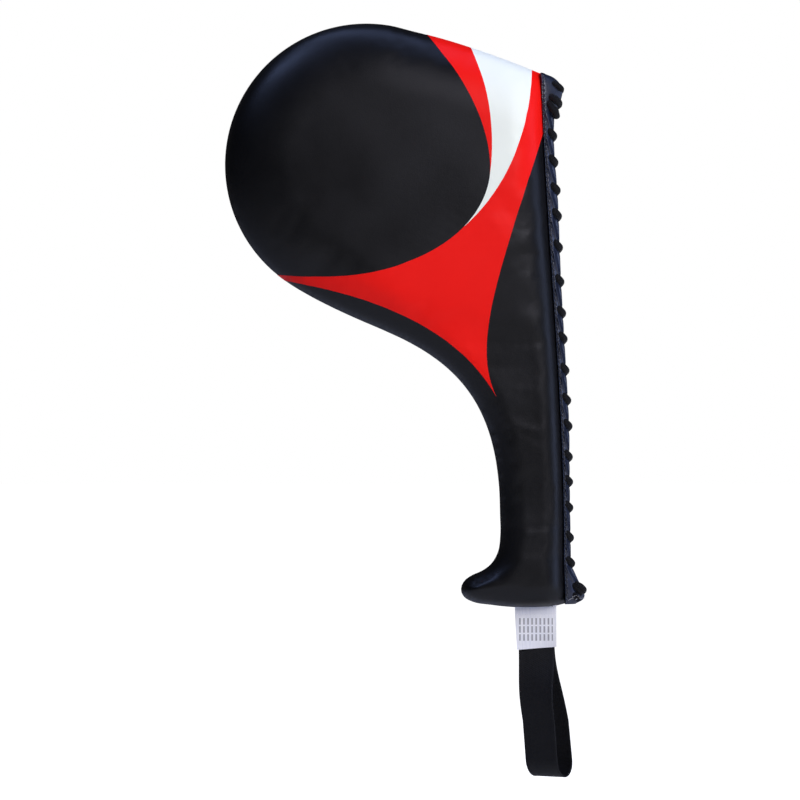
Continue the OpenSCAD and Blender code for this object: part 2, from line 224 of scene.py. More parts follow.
order, left = [int(np.argmin(np.linalg.norm(rim - seam[-1], axis=1)))], set(range(len(rim)))
while left - {order[-1]}:
    left.discard(order[-1])
    rest = np.array(sorted(left))
    order.append(int(rest[np.argmin(np.linalg.norm(rim[rest] - rim[order[-1]], axis=1))]))
rim = np.vstack([seam[-1], rim[order], seam[0]])
rim = rim[np.concatenate([[True], np.linalg.norm(np.diff(rim, axis=0), axis=1) > 0.5])]
rim_line = smooth_line(rim, 1.0)
seam_line = smooth_line(seam, 1.0)
print("sewn rim", round(len(rim_line) * 1.0), "mm, laced seam", round(len(seam_line) * 1.0), "mm")

# %% [markdown]
# ## One flat pattern for both covers
#
# A cover is cut flat, so the mesh starts flat too: an even net of triangles inside the outline. The
# edges of the printed shapes are put into the net as fixed lines. Then a colour film is simply
# the triangles on one side of a line, and its edge is as crisp as a knife cut. A grid that ignored those
# lines would give a stair-stepped edge, and a painted colour would have no thickness.

# %% Printed shapes, as curves in the plane of the pad
CURVE_POINTS = 60


def cubic(a, b, c, d, n=CURVE_POINTS):
    """A Bezier curve from a to d, as points."""
    t = np.linspace(0, 1, n)[:, None]
    a, b, c, d = (np.array(p, float) for p in (a, b, c, d))
    return a * (1 - t)**3 + 3 * b * t * (1 - t)**2 + 3 * c * t * t * (1 - t) + d * t**3


disc_side = cubic((-31.9, 241.5), (-31.9, 218), (-50, 191.5), (-88.2, 177.1))
PINCH, WHITE_END = 7, 34                     # where the crescent and the white panel end on it
pinch, white_tip = disc_side[PINCH], disc_side[WHITE_END]
disc_edge = np.vstack([cubic((-96, 358), (-60, 322), (-31.9, 280), (-31.9, 241.5)), disc_side[1:],
                       cubic((-88.2, 177.1), (-112, 166.5), (-148, 163), (-190, 169.5))[1:],
                       [(-215, 174)]])
crescent_edge = np.vstack([[(-66, 360)], cubic((-54, 344), (-33, 309), (-27, 268), pinch)])
white_edge = np.vstack([[(-2.2, 345)], cubic((-2.2, 330), (-0.6, 280), (-14.5, 232), white_tip)])
swoosh_edge = np.vstack([[(-215, 170)], cubic((-190, 166.5), (-122, 156), (-56, 134), (-27.7, 82.6)),
                         cubic((-27.7, 82.6), (-46, 122), (-24, 172), (7.5, 274))[1:], [(14, 300)]])
corner = CURVE_POINTS                        # the swoosh's lower point
print_lines = [resample(line, 2.2) for line in (
    disc_edge, crescent_edge, white_edge, swoosh_edge[:corner + 1], swoosh_edge[corner:])]


# %% A net of triangles inside the outline
def inside(points, loop):
    """Which plane points are inside a closed loop."""
    x, z = points[:, 0][:, None], points[:, 1][:, None]
    a, b = loop, np.roll(loop, -1, axis=0)
    across = (a[:, 1] > z) != (b[:, 1] > z)
    rise = np.where(b[:, 1] == a[:, 1], 1e-9, b[:, 1] - a[:, 1])
    return ((x < (b[:, 0] - a[:, 0]) * (z - a[:, 1]) / rise + a[:, 0]) & across).sum(1) % 2 == 1


def distance(points, line):
    """How far each plane point is from a line of points."""
    a, d = line[:-1], np.diff(line, axis=0)
    found = []
    for part in np.array_split(points, max(1, len(points) // 1500)):
        r = part[:, None] - a
        t = np.clip((r * d).sum(2) / (d * d).sum(1), 0, 1)
        found.append(np.sqrt(((r - t[..., None] * d) ** 2).sum(2).min(1)))
    return np.concatenate(found)


def flat_pattern(step, lines, seam_rows=()):
    """Points and triangles that fill the outline, with the given lines as edges of the net."""
    rim_part, seam_part = resample(rim_line, step), resample(seam_line, step)
    loop = np.vstack([rim_part[:-1], seam_part[:-1]])
    rows = [seam_part[1:-1] - [inward, 0] for inward in seam_rows]
    low, high = loop.min(0), loop.max(0)
    xs, zs = np.arange(low[0], high[0], step), np.arange(low[1], high[1], step * 0.866)
    grid = np.array([(x + (k % 2) * step / 2, z) for k, z in enumerate(zs) for x in xs])
    grid = grid[inside(grid, loop)]
    grid = grid[distance(grid, np.vstack([loop, loop[:1]])) > 0.6 * step]
    for line in lines:
        grid = grid[distance(grid, line) > 0.55 * step]
    if rows:
        grid = grid[distance(grid, rows[-1]) > 0.5 * step]
        grid = grid[grid[:, 0] < np.interp(-grid[:, 1], -rows[-1][:, 1], rows[-1][:, 0])]
    points, edges = [loop], [(i, (i + 1) % len(loop)) for i in range(len(loop))]
    start = len(loop)
    for line in lines:
        points.append(line)
        edges += [(start + i, start + i + 1) for i in range(len(line) - 1)]
        start += len(line)
    points += rows + [grid]
    found = delaunay_2d_cdt([Vector(p) for p in np.vstack(points)], edges, [], 1, 1e-4)
    flat, tris = np.array([tuple(p) for p in found[0]]), np.array([f for f in found[2] if len(f) == 3])
    used, tris = np.unique(tris, return_inverse=True)
    flat, tris = flat[used], tris.reshape(-1, 3)
    a, b, c = (flat[tris[:, k]] for k in range(3))
    area = (b[:, 0] - a[:, 0]) * (c[:, 1] - a[:, 1]) - (b[:, 1] - a[:, 1]) * (c[:, 0] - a[:, 0])
    tris[area < 0] = tris[area < 0][:, ::-1]
    return flat, tris[np.abs(area) > 1e-5]


def border(tris):
    """The net's outer edges, in the triangles' own direction."""
    edges = np.vstack([tris[:, [0, 1]], tris[:, [1, 2]], tris[:, [2, 0]]])
    key = np.sort(edges, axis=1)
    _, first, uses = np.unique(key, axis=0, return_index=True, return_counts=True)
    return edges[first[uses == 1]]


STEP = 2.6
flat, tris = flat_pattern(STEP, print_lines, seam_rows=(0.55, 1.3))
print("cover pattern:", len(flat), "points,", len(tris), "triangles")

# %% [markdown]
# ## From flat to padded
#
# The foam inside is flat in the middle and rounds over towards the seams: over about 46 mm at the head,
# and 18 mm at the handle. So the half thickness at a point follows from how far it is from the sewn rim
# and from the laced seam, as a quarter of an ellipse. This is only the foam's shape. The cover stretched
# over it comes next.

# %% Half thickness of the foam under the cover
SPINE = np.vstack([cubic((-118, 245), (-70, 205), (-3, 140), (-3, 8), 14), [(-3, -16), (-7, -40)]])
HEAD_HALF, HANDLE_HALF, POMMEL_HALF = 25.0, 17.0, 19.0
spine_fine = resample(np.column_stack([SPINE, np.arange(16)]), 1.5)
spine_tree = KDTree(len(spine_fine))
for number, point in enumerate(spine_fine):
    spine_tree.insert((point[0], point[1], 0), number)
spine_tree.balance()


def along_spine(points):
    """How far down the paddle each point is: 0 at the head's middle, 13 in the grip, 15 at the pommel."""
    return np.array([spine_fine[spine_tree.find((p[0], p[1], 0))[1], 2] for p in points])


def eased(t):
    t = np.clip(t, 0, 1)
    return t * t * (3 - 2 * t)


def foam_height(points):
    """Half thickness, distance from the rim and distance from the laced seam, in millimetres."""
    k = along_spine(points)
    to_rim, to_seam = distance(points, rim_line), distance(points, seam_line)
    half = np.where(k < 12, HEAD_HALF + (HANDLE_HALF - HEAD_HALF) * eased((k - 3) / 7),
                    HANDLE_HALF + (POMMEL_HALF - HANDLE_HALF) * np.clip((k - 13) / 2, 0, 1))
    over_rim = 46 + (18 - 46) * eased((k - 1) / 8) - 1.0 * np.clip((k - 13) / 2, 0, 1)
    over_seam = 26 + (17 - 26) * np.clip((k - 2) / 8, 0, 1)
    first = SEAM_HALF / half
    lead = over_seam * (1 - np.sqrt(1 - first**2))
    rise_rim = np.sqrt(np.clip(1 - (1 - np.clip(to_rim / over_rim, 0, 1)) ** 2, 0, 1))
    rise_seam = np.sqrt(np.clip(1 - (1 - np.clip((to_seam + lead) / over_seam, 0, 1)) ** 2, 0, 1))
    return half * rise_rim * rise_seam, to_rim, to_seam


height, to_rim, to_seam = foam_height(flat)
print("half thickness, most:", round(float(height.max()), 1), "mm")

# %% [markdown]
# ## A cloth simulation stretches the cover
#
# A real cover is cut a little large, sewn, and pulled over the foam, so it stands off the foam in
# shallow swells between the seams. Sculpting those by hand tends to look even. Instead a coarse copy of
# the cover is sewn shut along its border and blown up a little as cloth. Only a share of how far it moved
# is carried to the fine net, because firm foam holds the cover nearly smooth. That also keeps the film
# edges exact, and a cap on the movement keeps the paddle's size.

# %% Cloth simulation on a coarse copy
SIM_STEP, SLACK, CAP, TAKE = 6.5, 0.95, 1.6, 0.4
FRAMES = 20
swell = {side: np.zeros((len(flat), 3)) for side in (-1, 1)}
net, net_tris = flat_pattern(SIM_STEP, [])
net_height = foam_height(net)[0] * SLACK
rim_points = np.unique(border(net_tris))
on_seam = rim_points[distance(net[rim_points], seam_line) < 0.05]
net_height[rim_points] = RIM_HALF
net_height[on_seam] = SEAM_HALF
n = len(net)
start = np.vstack([np.column_stack([net[:, 0], side * net_height, net[:, 1]]) for side in (-1, 1)])
walls = [(a + n, b + n, b, a) for a, b in border(net_tris)]
faces = [*map(tuple, net_tris), *map(tuple, net_tris[:, ::-1] + n), *[w[::-1] for w in walls]]
cloth = make_piece("cover_cloth", start, faces, leatherette)
pins = cloth.vertex_groups.new(name="sewn")
pins.add([int(i) for i in np.concatenate([rim_points, rim_points + n])], 1.0, "REPLACE")
modifier = cloth.modifiers.new("stretch", "CLOTH")
cloth_set = modifier.settings
cloth_set.quality, cloth_set.mass, cloth_set.vertex_group_mass = 6, 0.3, "sewn"
cloth_set.tension_stiffness = cloth_set.compression_stiffness = 25
cloth_set.shear_stiffness, cloth_set.bending_stiffness = 10, 1.5
cloth_set.shrink_min = -0.012
cloth_set.use_pressure, cloth_set.uniform_pressure_force = True, 4.0
cloth_set.effector_weights.gravity = 0
modifier.point_cache.frame_start, modifier.point_cache.frame_end = 1, FRAMES
for number in range(1, FRAMES + 1):
    bpy.context.scene.frame_set(number)
grown = cloth.evaluated_get(bpy.context.evaluated_depsgraph_get()).to_mesh()
end = np.array([v.co for v in grown.vertices]) / MM
moved = end - start
length = np.linalg.norm(moved, axis=1, keepdims=True)
print(f"cloth moved {length.mean():.2f} mm on average, most {length.max():.2f}")
moved *= TAKE * np.minimum(1, CAP / np.maximum(length, 1e-9))
bpy.data.objects.remove(cloth)
bpy.context.scene.frame_set(1)
tree_2d = KDTree(n)
for number, point in enumerate(net):
    tree_2d.insert((point[0], point[1], 0), number)
tree_2d.balance()
for row, point in enumerate(flat):
    near = tree_2d.find_n((point[0], point[1], 0), 6)
    weight = np.array([1 / (d + 0.8) ** 2 for _, _, d in near])
    who = np.array([i for _, i, _ in near])
    for side, shift in ((-1, 0), (1, n)):
        swell[side][row] = (moved[who + shift] * weight[:, None]).sum(0) / weight.sum()


# %% [markdown]
# ## Marks of use and of making
#
# Each turn of the lace pulls on the seam, so short ripples run in from it at the lace's own spacing.
# A grip that is squeezed every day has a crease across it and a flat worn by the thumb. The cover is
# also gathered over the tight bend between grip and pommel, where it folds. These are all shallow,
# half a millimetre or so, but they are what makes a black surface readable.

# %% Ripples, creases and folds
EDGE_HALF = 2.2                              # half thickness of the two strips at their free edge
PROUD = 1.4                                  # how far beyond it the middle of the lace goes
outer = strip_points[np.abs(strip_points[:, 1] + EDGE_HALF) < 0.004][:, [0, 2]]
outer = outer[np.argsort(outer[:, 1])]
cord = cad_points("edge_lace")
past_edge = cord[:, 0] - np.interp(cord[:, 2], outer[:, 1], outer[:, 0])
cord = cord[(np.abs(cord[:, 1]) < 0.75) & (past_edge > -0.75)]
cord = cord[np.argsort(-cord[:, 2])]
turns = np.array([c.mean(0) for c in np.split(cord, np.flatnonzero(np.diff(cord[:, 2]) < -6) + 1)])
wrap_z, wrap_x = turns[:, 2], turns[:, 0] - PROUD
WRAPS = len(turns)


# rise in mm (below 0 is a crease), from, to, width in mm
CREASES = [
    (-0.3, (-17, -9), (15, -7.6), 1.8), (0.15, (-14, -12.4), (14, -11.2), 2.2),        # across the grip
    (0.35, (13, -3), (14, 18), 2.8), (-0.3, (9.2, -4), (10, 20), 1.6), (-0.25, (-13, 26), (-12, -6), 1.2),
    (-1.25, (-43, -47.4), (-31, -41.6), 1.5), (0.75, (-42, -51), (-29, -45), 2.4),     # over the pommel
    (-0.5, (-47, -52), (-40, -44.5), 1.6), (-0.45, (-30, -38), (-17, -33), 2.2),
    (-0.35, (-34, -57), (12, -59.5), 1.8),
    (-0.15, (-20, 60), (2, 52), 2.4), (0.1, (-22, 66), (0, 58), 2.8)]                  # below the neck


def near_line(points, a, b, width):
    """1 on the line from a to b, falling to 0 over a width."""
    away = distance(points, np.array([a, b], float))
    return np.exp(-(away / width) ** 2)


def marks(points, seam_away, rim_away, turn):
    """Height to add to the cover, in millimetres; turn makes front and back differ."""
    x, z = points[:, 0], points[:, 1]
    pulled = 2 * np.pi * np.interp(-z - 2, -wrap_z, np.arange(WRAPS))
    add = 0.35 * np.cos(pulled + turn) * np.exp(-seam_away / 5.5) \
        * (1 - np.exp(-(seam_away / 1.6) ** 2))
    add += 0.28 * np.sin(x / 27 + z / 41 + turn) * np.sin(z / 23 - x / 60 + 0.7)
    add += 0.10 * np.sin(x / 9.3 + 1.3 * turn) * np.sin(z / 11.7 + 0.4)
    for rise, start, end, width in CREASES:
        add += rise * near_line(points, start, end, width)
    return add * (1 - np.exp(-(rim_away / 2.5) ** 2))


def cover_surface(side):
    """Points of one cover's outer face, in millimetres; side is -1 in front and 1 at the back."""
    full = height + marks(flat, to_seam, to_rim, 0.0 if side < 0 else 1.1)
    lip = np.clip(1 - to_seam / 1.3, 0, 1)
    full -= 1.5 * lip**2
    points = np.column_stack([flat[:, 0], side * full, flat[:, 1]])
    points[:, 1] *= SLACK + (1 - SLACK) * np.exp(-to_seam / 3)
    points += swell[side] * np.minimum(1, np.minimum(to_rim, to_seam) / 4)[:, None]
    points[:, 1] *= HEAD_HALF / np.abs(points[:, 1]).max()
    on_rim = (to_rim < 0.02) & (to_seam > 0.6)
    points[on_rim, 1] = side * RIM_HALF
    points[:, 1] = side * np.maximum(side * points[:, 1], RIM_HALF)
    return points


def point_normals(points, faces):
    a, b, c = (points[faces[:, k]] for k in range(3))
    face = np.cross(b - a, c - a)
    total = np.zeros_like(points)
    for k in range(3):
        np.add.at(total, faces[:, k], face)
    return total / np.maximum(np.linalg.norm(total, axis=1, keepdims=True), 1e-12)


surface, normal = {}, {}
for side in (-1, 1):
    surface[side] = cover_surface(side)
    normal[side] = point_normals(surface[side], tris if side < 0 else tris[:, ::-1])
print("cover stands", [round(float(np.abs(at[:, 1]).max()), 2) for at in surface.values()], "mm out")

# %% [markdown]
# ## Covers and foam
#
# A cover is a sheet 1.4 mm thick, so it gets an inner face and a closed edge. The strike foam under it
# is a solid with the same shape, a hair smaller, and a flat base against the middle layer. Nobody sees
# the foam, but a cut through the model finds it where it belongs.

# %% Build the covers and the strike foam
COVER_T, CORE_HALF, LAYER_GAP = 1.4, 3.0, 0.15


def closed_sheet(name, top, below, faces, material):
    """A closed sheet between two sets of the same points; faces are seen from the top's side."""
    n = len(top)
    walls = [(a, a + n, b + n, b) for a, b in border(faces)]
    return make_piece(name, np.vstack([top, below]), [*faces, *(faces[:, ::-1] + n), *walls], material)


def foam_material(name, cell, wall, hollow, roughness):
    """Foam with cells of a size, between the colours of their walls and their hollows."""
    material, tree, shader = start_material(name, Roughness=roughness)
    place = add_node(tree, "TexCoord")
    cells = add_node(tree, "TexVoronoi", {"Vector": place.outputs["Object"], "Scale": 1 / cell})
    tint = add_node(tree, "Mix", {"Factor": cells, 6: linear(wall), 7: linear(hollow)}, data_type="RGBA")
    feed(shader, {"Base Color": tint.outputs[2]})
    return material


foam = foam_material("closed_cell_foam", 1.2 * MM, "#dfe3e8", "#b9c0c8", 0.9)

for side, word in ((-1, "front"), (1, "back")):
    faces = tris if side < 0 else tris[:, ::-1]
    under = surface[side] - normal[side] * COVER_T
    under[:, 1] = side * np.maximum(side * under[:, 1], RIM_HALF)
    cover = closed_sheet(f"{word}_cover_leatherette", surface[side], under, faces, leatherette)
    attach(cover, "pad")
    stand_for(f"{word}_cover")
    keep = (to_rim > 3.6) & (to_seam > 3.2)
    inner = faces[keep[faces].all(1)]
    used, inner = np.unique(inner, return_inverse=True)
    inner = inner.reshape(-1, 3)
    top = (surface[side] - normal[side] * (COVER_T + 0.3))[used]
    top[:, 1] = side * np.maximum(side * top[:, 1], CORE_HALF + LAYER_GAP + 0.2)
    base = top.copy()
    base[:, 1] = side * (CORE_HALF + LAYER_GAP)
    strike = closed_sheet(f"{word}_foam_layer", top, base, inner, foam)
    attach(strike, "pad")
    stand_for(f"{word}_strike_foam")

# %% [markdown]
# ## Pressed colour films
#
# The red and white shapes are heat-transfer film: thin coloured polyurethane, cut to shape and pressed
# on hot. It takes up the leatherette's grain and ends in an edge a seventh of a millimetre high. Paint on
# the cover would look flatter. So each film is a thin solid made from its own triangles of the cover,
# raised by its thickness.

# %% Film material
FILM_T = 0.14


def film_material(name, deep, bright, roughness, shine):
    """Satin film over an embossed ground: slight tint drift and a softened copy of the grain."""
    material, tree, shader = start_material(name, Roughness=roughness, IOR=1.48, Specular_IOR_Level=shine)
    place = add_node(tree, "TexCoord")
    drift = add_node(tree, "TexNoise", {
        "Vector": place.outputs["Object"], "Scale": 1 / (60 * MM), "Detail": 2.0})
    tint = add_node(tree, "Mix", {
        "Factor": drift, 6: linear(deep), 7: linear(bright)}, data_type="RGBA")
    grain = add_node(tree, "TexVoronoi", {
        "Vector": place.outputs["Object"], "Scale": 1 / GRAIN, "Randomness": 0.9}, feature="SMOOTH_F1")
    soft = add_node(tree, "Bump", {
        "Height": grain, "Strength": 0.12, "Distance": 0.1 * MM}, invert=True)
    feed(shader, {"Base Color": tint.outputs[2], "Normal": soft})
    return material


red_film = film_material("red_heat_transfer_film", "#e6110b", "#f31710", 0.42, 0.16)
white_film = film_material("white_heat_transfer_film", "#e6ede7", "#eff5ee", 0.42, 0.25)


# %% Cut the films out of the cover's net
PAST_TOP, PAST_SIDE = 380, 40                # anywhere outside the cover closes a shape
shapes = {
    "red_crescent": (red_film, "red_film", [
        [(-96, PAST_TOP)], disc_edge[:CURVE_POINTS], disc_side[:PINCH + 1], crescent_edge[::-1],
        [(-66, PAST_TOP)]]),
    "white_panel": (white_film, "white_film", [
        [(-66, PAST_TOP)], crescent_edge, disc_side[PINCH:WHITE_END + 1], white_edge[::-1],
        [(-3.6, PAST_TOP)]]),
    "red_swoosh": (red_film, "red_film", [
        [(-3.6, PAST_TOP)], white_edge, disc_edge[CURVE_POINTS + WHITE_END:], swoosh_edge,
        [(PAST_SIDE, 300), (PAST_SIDE, PAST_TOP)]]),
}
middle = flat[tris].mean(1)
for side, word in ((-1, "front"), (1, "back")):
    for shape, (material, slot, lines) in shapes.items():
        own = tris[inside(middle, np.vstack(lines))]
        used, own = np.unique(own, return_inverse=True)
        own = own.reshape(-1, 3) if side < 0 else own.reshape(-1, 3)[:, ::-1]
        at, out = surface[side][used], normal[side][used]
        film = closed_sheet(f"{word}_{shape}_film", at + out * FILM_T, at - out * 0.3, own, material)
        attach(film, "pad")
        stand_for(f"{word}_{shape}")

# %% [markdown]
# ## The edge strips
#
# A strip of glossier leatherette is sewn along each side of the opening and punched with a row of holes.
# The lace pulls it in at each turn, so it gathers in between: a fold starts under one hole and runs
# down and outwards to the next. The bevel takes light in a bluish line along each fold. The strip flares
# into an ear past the last hole at each end. Its cross-section is worked out row by row from the
# CAD strip's two edges.

# %% Glossy leatherette for the strips
strip_coat, tree, shader = start_material(
    "glossy_edge_leatherette", Roughness=0.36, IOR=1.5, Coat_Weight=0.25, Coat_Roughness=0.25)
place = add_node(tree, "TexCoord")
rubbed_and_blue_sheen = add_node(tree, "TexNoise", {
    "Vector": place.outputs["Object"], "Scale": 1 / (14 * MM), "Detail": 4.0, "Roughness": 0.6})
# The strip's navy tint and its lighter blue patches are painted bluish sheen; the same noise also makes the
# roughness wander, as rubbing does.
tint = add_node(tree, "Mix", {
    "Factor": rubbed_and_blue_sheen, 6: linear("#0e121d"), 7: linear("#1e2740")}, data_type="RGBA")
gloss = add_node(tree, "MapRange", {"Value": rubbed_and_blue_sheen, 1: 0.3, 2: 0.7, 3: 0.3, 4: 0.45})
fine = add_node(tree, "TexVoronoi", {
    "Vector": place.outputs["Object"], "Scale": 1 / GRAIN, "Randomness": 0.9}, feature="SMOOTH_F1")
emboss = add_node(tree, "Bump", {
    "Height": fine, "Strength": 0.15, "Distance": 0.1 * MM}, invert=True)
feed(shader, {"Base Color": tint.outputs[2], "Roughness": gloss, "Normal": emboss})

# %% Shape of a strip
STRIP_T, SLIT = 1.8, 0.2
free_edge = outer[(outer[:, 1] > wrap_z[0] + 2) | (outer[:, 1] < wrap_z[-1] - 1)]
plain = np.vstack([free_edge, np.column_stack([wrap_x, wrap_z])])
plain = smooth_line(plain[np.argsort(plain[:, 1])], 0.8)
seam_up = seam_line[::-1]
print(WRAPS, "turns of lace, from", round(wrap_z[0]), "down to", round(wrap_z[-1]), "mm")


def edge_x(z):
    """Where the strip's free edge is, before the lace pulls it in."""
    return np.interp(z, plain[:, 1], plain[:, 0])


def seam_x(z):
    return np.interp(z, seam_up[:, 1], seam_up[:, 0])


ROWS = np.concatenate([
    np.linspace(309.2, 285, 40)[:-1], np.arange(285, -50, -0.7), np.linspace(-50, -62.2, 24)])
ACROSS = np.concatenate([np.linspace(0, 0.25, 8)[:-1], np.linspace(0.25, 1, 17)])
STITCH, THREAD_R, STITCH_IN = 3.4, 0.42, 1.6
STRIP_IN = 0.15                              # from the seam to the strip


def bell(distance, width):
    return np.exp(-(distance / width) ** 2)


def strip_rows(z):
    """Outer face of the strip for each row z: arrays of x, half thickness and share of the way across."""
    z = np.asarray(z, float)[:, None]
    turn = np.interp(-z, -wrap_z, np.arange(WRAPS))
    above, below = wrap_z[np.floor(turn).astype(int)] - z, z - wrap_z[np.ceil(turn).astype(int)]
    below = np.where(z > wrap_z[0], 99, below)
    laced = eased((wrap_z[0] + 5 - z) / 6) * eased((z - wrap_z[-1] + 5) / 6)
    phase = turn % 1.0                       # 0 at one turn of the lace, nearly 1 just above the next
    near = bell(above, 3.2) + bell(below, 3.2)
    x0, x1 = seam_x(z) + STRIP_IN, edge_x(z) - 1.5 * near * laced
    x = x0 + (x1 - x0) * ACROSS
    along = (x - x0) / np.maximum(edge_x(z) - x0, 1e-6)
    y = SEAM_HALF + (EDGE_HALF - SEAM_HALF) * along**1.2
    y += 0.9 * np.sin(np.pi * np.clip(along, 0, 1)) * (0.5 + 0.5 * laced)
    y -= 1.7 * np.clip(1 - (x - x0) / 0.8, 0, 1) ** 2
    stitch_row = bell(x - x0 - STITCH_IN, 0.5)
    y -= 0.4 * stitch_row * (1 + 0.9 * np.cos(2 * np.pi * (303 - z) / STITCH))
    ridge = 0.3 + 0.62 * phase               # the fold runs outwards as it goes down
    y += laced * 1.6 * bell(along - ridge, 0.12) * np.sin(np.pi * np.clip(phase * 1.05, 0, 1)) ** 0.7
    y -= laced * 1.1 * bell(along - ridge - 0.27, 0.14) * np.sin(np.pi * phase)
    y -= laced * 1.5 * bell(below, 3.6) * eased((along - 0.4) / 0.3)
    y -= laced * 1.3 * bell(above, 3.0) * eased((along - 0.5) / 0.3)
    return x, np.maximum(y, SLIT + 0.5), along


def tube_faces(rings, m):
    """Faces that join rings of m points each into a tube, with both ends closed."""
    faces = [(r * m + c, r * m + (c + 1) % m, (r + 1) * m + (c + 1) % m, (r + 1) * m + c)
             for r in range(rings - 1) for c in range(m)]
    return faces + [tuple(range(m))[::-1], tuple((rings - 1) * m + c for c in range(m))]


def build_strip(side, word):
    x, y, _ = strip_rows(ROWS)
    n = len(ROWS)
    lip_x = np.column_stack([x[:, -1] + 0.35, x[:, -1] + 0.25, x[:, -1] - 0.3, x[:, -1] - 2.4, x[:, 0]])
    lip_y = np.column_stack([np.maximum(y[:, -1] * 0.62, 1.0), np.full(n, 0.6), np.full(n, SLIT),
                             np.full(n, SLIT), np.full(n, SEAM_HALF - STRIP_T - 1.3)])
    ring_x, ring_y = np.hstack([x, lip_x]), np.hstack([y, lip_y])
    ring_z = np.repeat(ROWS[:, None], ring_x.shape[1], 1)
    points = np.stack([ring_x, side * ring_y, ring_z], axis=2).reshape(-1, 3)
    faces = tube_faces(n, ring_x.shape[1])
    faces = [face[::-1] for face in faces] if side < 0 else faces
    strip = make_piece(f"{word}_edge_strip_leatherette", points, faces, strip_coat)
    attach(strip, "pad")
    stand_for(f"{word}_edge_strip")


for side, word in ((-1, "front"), (1, "back")):
    build_strip(side, word)

# %% [markdown]
# ## Tubes for thread and cord
#
# Stitches, the lace and its knots are all a round section swept along a line. The sweep carries one
# frame from point to point without letting it spin, so a braid on it runs straight. The distances along and
# round the tube are kept as UV in metres, which lets a braid or a twist be drawn at its real size.

# %% Sweep a round section along a line
def unit(v):
    return v / np.maximum(np.linalg.norm(v, axis=-1, keepdims=True), 1e-12)


def sweep(path, radius, sides):
    """Points, faces and UV of a closed tube. radius may be one number or one for each point."""
    path = np.asarray(path, float)
    n, radius = len(path), np.broadcast_to(np.asarray(radius, float), len(path))
    along = unit(np.gradient(path, axis=0))
    u = unit(np.cross(along[0], (0.31, 0.87, 0.38)))
    frames = []
    for i in range(n):
        u = unit(u - along[i] * (u @ along[i]))
        frames.append((u, np.cross(along[i], u)))
    angle = np.linspace(0, 2 * np.pi, sides, endpoint=False)
    points = np.concatenate([path[i] + radius[i] * (np.cos(angle)[:, None] * a
                             + np.sin(angle)[:, None] * b) for i, (a, b) in enumerate(frames)])
    run = np.concatenate([[0], np.cumsum(np.linalg.norm(np.diff(path, axis=0), axis=1))])
    uv = np.column_stack([np.repeat(run, sides) * MM, np.tile(angle / (2 * np.pi), n)])
    return points, tube_faces(n, sides), uv


def joined(parts):
    """Several (points, faces, uv) as one."""
    points, faces, uvs, start = [], [], [], 0
    for p, f, uv in parts:
        points.append(p)
        faces += [tuple(start + i for i in face) for face in f]
        uvs.append(uv)
        start += len(p)
    return np.vstack(points), faces, np.vstack(uvs)


# %% [markdown]
# ## Bonded thread
#
# Upholstery thread is bonded nylon, three plies twisted together and coated, about 0.5 mm thick. It is
# drawn at 0.8 mm, so that the row can be seen. Each stitch is a short float of thread that
# dives into the leatherette at both ends. The row of topstitching runs beside the groove, 3.4 mm to the
# stitch, and the strip is pulled down in a furrow under it.

# %% Thread and topstitching
thread, tree, shader = start_material("bonded_nylon_thread", Roughness=0.45, IOR=1.53, Sheen_Weight=0.2)
twist = add_node(tree, "UVMap", uv_map="UVMap")
slant = add_node(tree, "Mapping", {
    "Vector": twist, "Scale": (1 / (0.9 * MM), 3.0, 1.0), "Rotation": (0, 0, 0.6)})
plies = add_node(tree, "TexWave", {"Vector": slant, "Scale": 0.6, "Distortion": 0.4})
tint = add_node(tree, "Mix", {
    "Factor": plies.outputs["Fac"], 6: linear("#0a0b11"), 7: linear("#1e2233")}, data_type="RGBA")
ply_bump = add_node(tree, "Bump", {"Height": plies.outputs["Fac"], "Strength": 0.3, "Distance": 0.1 * MM})
feed(shader, {"Base Color": tint.outputs[2], "Normal": ply_bump})

for side, word in ((-1, "front"), (1, "back")):
    stitches = []
    for top in np.arange(303, -57, -STITCH):
        z = top - np.linspace(0.25, STITCH - 0.25, 7)
        x, y, _ = strip_rows(z)
        line_x = seam_x(z) + STRIP_IN + STITCH_IN
        line_y = np.array([np.interp(a, row_x, row_y) for a, row_x, row_y in zip(line_x, x, y)])
        dive = 0.75 * np.sin(np.linspace(0, np.pi, 7)) ** 0.5 - 0.3
        wander = 0.12 * np.sin(top * 1.7)
        path = np.column_stack([line_x + wander + 0.18 * np.linspace(-1, 1, 7), side * (line_y + dive), z])
        stitches.append(sweep(path, THREAD_R, 6))
    points, faces, uv = joined(stitches)
    row = make_piece(f"{word}_topstitch_thread", points, faces, thread, uv=uv)
    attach(row, "pad")
    stand_for(f"{word}_topstitch")

# %% [markdown]
# ## The lace
#
# The lace is a round braided cord of about 5 mm, whipped over the edge eighteen times. Seen from the
# front, each turn comes out of its hole, crosses the edge on a slant and goes round to the back. A round
# braid of this size has twelve yarns, six spiralling each way. That gives a pattern of small slanting
# lozenges, drawn here from two crossed waves, each yarn about 1.1 mm wide.

# %% Braided cord material
braid, tree, shader = start_material(
    "braided_polyester_cord", Roughness=0.75, Specular_IOR_Level=0.25, Sheen_Weight=0.05)
YARN, STARTS = 1.1 * MM, 6                   # one yarn's width, and spirals each way round the cord
uv_node = add_node(tree, "UVMap", uv_map="UVMap")
split = add_node(tree, "SeparateXYZ", {"Vector": uv_node})
along_braid = add_node(tree, "Math", {0: split, 1: math.pi / YARN}, operation="MULTIPLY")
round_braid = add_node(tree, "Math", {0: split.outputs[1], 1: 2 * math.pi * STARTS}, operation="MULTIPLY")
one_way = add_node(tree, "Math", {0: along_braid, 1: round_braid}, operation="ADD")
other_way = add_node(tree, "Math", {0: along_braid, 1: round_braid}, operation="SUBTRACT")
wave_one = add_node(tree, "Math", {0: one_way}, operation="SINE")
wave_two = add_node(tree, "Math", {0: other_way}, operation="SINE")
lozenge = add_node(tree, "Math", {0: wave_one, 1: wave_two}, operation="MULTIPLY")
